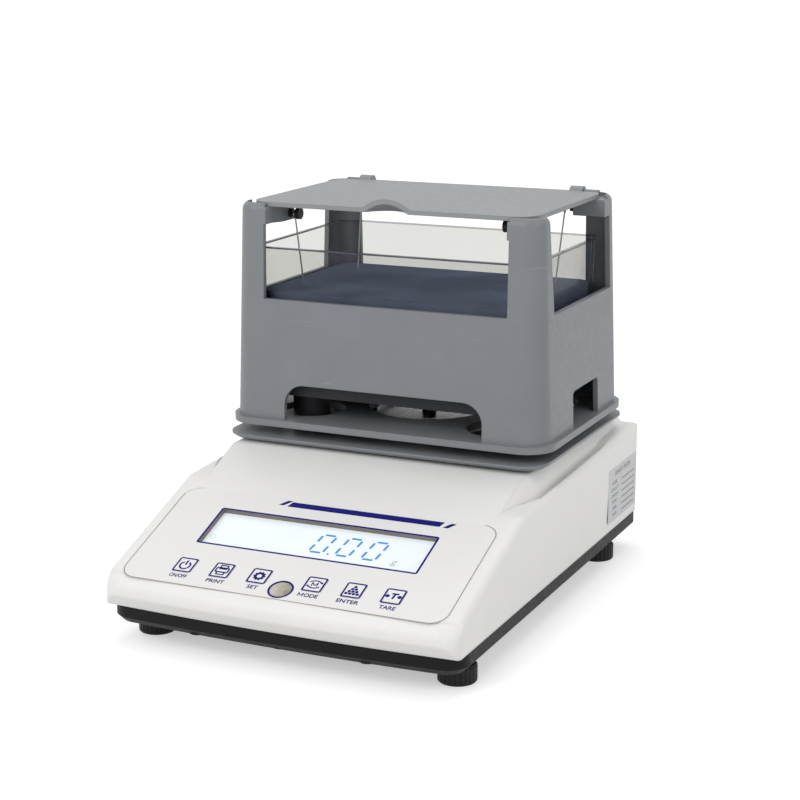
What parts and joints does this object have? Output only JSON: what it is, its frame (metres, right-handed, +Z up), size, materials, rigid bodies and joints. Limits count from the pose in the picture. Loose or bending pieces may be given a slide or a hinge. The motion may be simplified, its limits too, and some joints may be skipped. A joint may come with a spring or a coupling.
{
  "type": "benchtop density meter",
  "caption": "Electronic balance with sloping key panel and display, carrying a water tank inside a drafted weighing frame with hinged lid and hanging basket.",
  "frame": {"origin": "on the bench under the centre of the housing, at the bottom of the levelling feet", "axes": "+Z up, the key panel faces -Y, +X to the right of a person facing the panel"},
  "size_m": [0.207, 0.29, 0.2281],
  "materials": {
    "white_abs": "satin moulded",
    "dark_abs": "fine texture",
    "overlay_film": "printed film",
    "navy_trim": "gloss",
    "foot_black": "matte",
    "grey_abs": "satin moulded",
    "charcoal_abs": "satin moulded",
    "lid_grey": "satin moulded",
    "black_plastic": "matte",
    "pad_rubber": "matte",
    "clear_plastic": "clear gloss",
    "vial_clear": "clear gloss",
    "lcd_glass": "gloss",
    "light_guide": "matte",
    "circuit_board": "solder mask",
    "cell_aluminium": "milled",
    "stainless": "brushed",
    "zinc_steel": "plated"
  },
  "bodies": {
    "base": {"upper_housing": "white_abs", "base_tray": "dark_abs", "load_cell": "cell_aluminium", "load_cell_mount": "cell_aluminium", "load_cell_bolts": "zinc_steel", "overload_stop": "zinc_steel", "main_board": "circuit_board", "display_board": "circuit_board", "lcd_backlight": "light_guide", "lcd_panel": "lcd_glass", "key_switches": "black_plastic", "panel_overlay": "overlay_film", "level_ring": "navy_trim", "level_window": "vial_clear", "level_vial": "vial_clear", "power_inlet": "black_plastic", "data_port": "zinc_steel", "housing_screws": "zinc_steel", "board_screws": "zinc_steel", "display_screws": "zinc_steel", "stand_pads": "pad_rubber", "stand_plate": "grey_abs", "stand_screws": "zinc_steel", "platform_screws": "zinc_steel", "tank_platform": "charcoal_abs", "water_tank": "clear_plastic"},
    "weigh_table": {"pan_carrier": "cell_aluminium", "carrier_bolts": "zinc_steel", "pan_screw": "black_plastic", "weighing_pan": "stainless", "weighing_frame": "grey_abs", "hinge_pins": "stainless", "hanger_bolts": "stainless", "hanger_caps": "black_plastic"},
    "lid": {"lid": "lid_grey"},
    "basket": {"basket": "stainless", "hanger_wires": "stainless"},
    "key_power": {"key_power": "white_abs"},
    "key_print": {"key_print": "white_abs"},
    "key_set": {"key_set": "white_abs"},
    "key_mode": {"key_mode": "white_abs"},
    "key_enter": {"key_enter": "white_abs"},
    "key_tare": {"key_tare": "white_abs"},
    "foot_front_left": {"foot_front_left": "foot_black"},
    "foot_front_right": {"foot_front_right": "foot_black"},
    "foot_rear_left": {"foot_rear_left": "foot_black"},
    "foot_rear_right": {"foot_rear_right": "foot_black"}
  },
  "joints": [
    {"name": "weigh_slide", "type": "slide", "parent": "base", "child": "weigh_table", "axis": [0, 0, -1], "range_m": [0, 0.0005], "stiffness_N_per_m": 20000, "springref_m": -0.0004, "deforming": ["load_cell"]},
    {"name": "lid_hinge", "type": "hinge", "parent": "weigh_table", "child": "lid", "pos_m": [0, 0.1186, 0.2211], "axis": [-1, 0, 0], "range_deg": [0, 105]},
    {"name": "basket_lift", "type": "slide", "parent": "weigh_table", "child": "basket", "axis": [0, 0, 1], "range_m": [0, 0.0012]},
    {"name": "key_power_press", "type": "slide", "parent": "base", "child": "key_power", "axis": [0, 0.3469, -0.9379], "range_m": [0, 0.0004], "stiffness_N_per_m": 4000, "springref_m": -0.0001},
    {"name": "key_print_press", "type": "slide", "parent": "base", "child": "key_print", "axis": [0, 0.3469, -0.9379], "range_m": [0, 0.0004], "stiffness_N_per_m": 4000, "springref_m": -0.0001},
    {"name": "key_set_press", "type": "slide", "parent": "base", "child": "key_set", "axis": [0, 0.3469, -0.9379], "range_m": [0, 0.0004], "stiffness_N_per_m": 4000, "springref_m": -0.0001},
    {"name": "key_mode_press", "type": "slide", "parent": "base", "child": "key_mode", "axis": [0, 0.3469, -0.9379], "range_m": [0, 0.0004], "stiffness_N_per_m": 4000, "springref_m": -0.0001},
    {"name": "key_enter_press", "type": "slide", "parent": "base", "child": "key_enter", "axis": [0, 0.3469, -0.9379], "range_m": [0, 0.0004], "stiffness_N_per_m": 4000, "springref_m": -0.0001},
    {"name": "key_tare_press", "type": "slide", "parent": "base", "child": "key_tare", "axis": [0, 0.3469, -0.9379], "range_m": [0, 0.0004], "stiffness_N_per_m": 4000, "springref_m": -0.0001},
    {"name": "foot_front_left_height", "type": "slide", "parent": "base", "child": "foot_front_left", "axis": [0, 0, -1], "range_m": [-0.002, 0.006]},
    {"name": "foot_front_right_height", "type": "slide", "parent": "base", "child": "foot_front_right", "axis": [0, 0, -1], "range_m": [-0.002, 0.006]},
    {"name": "foot_rear_left_height", "type": "slide", "parent": "base", "child": "foot_rear_left", "axis": [0, 0, -1], "range_m": [-0.002, 0.006]},
    {"name": "foot_rear_right_height", "type": "slide", "parent": "base", "child": "foot_rear_right", "axis": [0, 0, -1], "range_m": [-0.002, 0.006]}
  ]
}
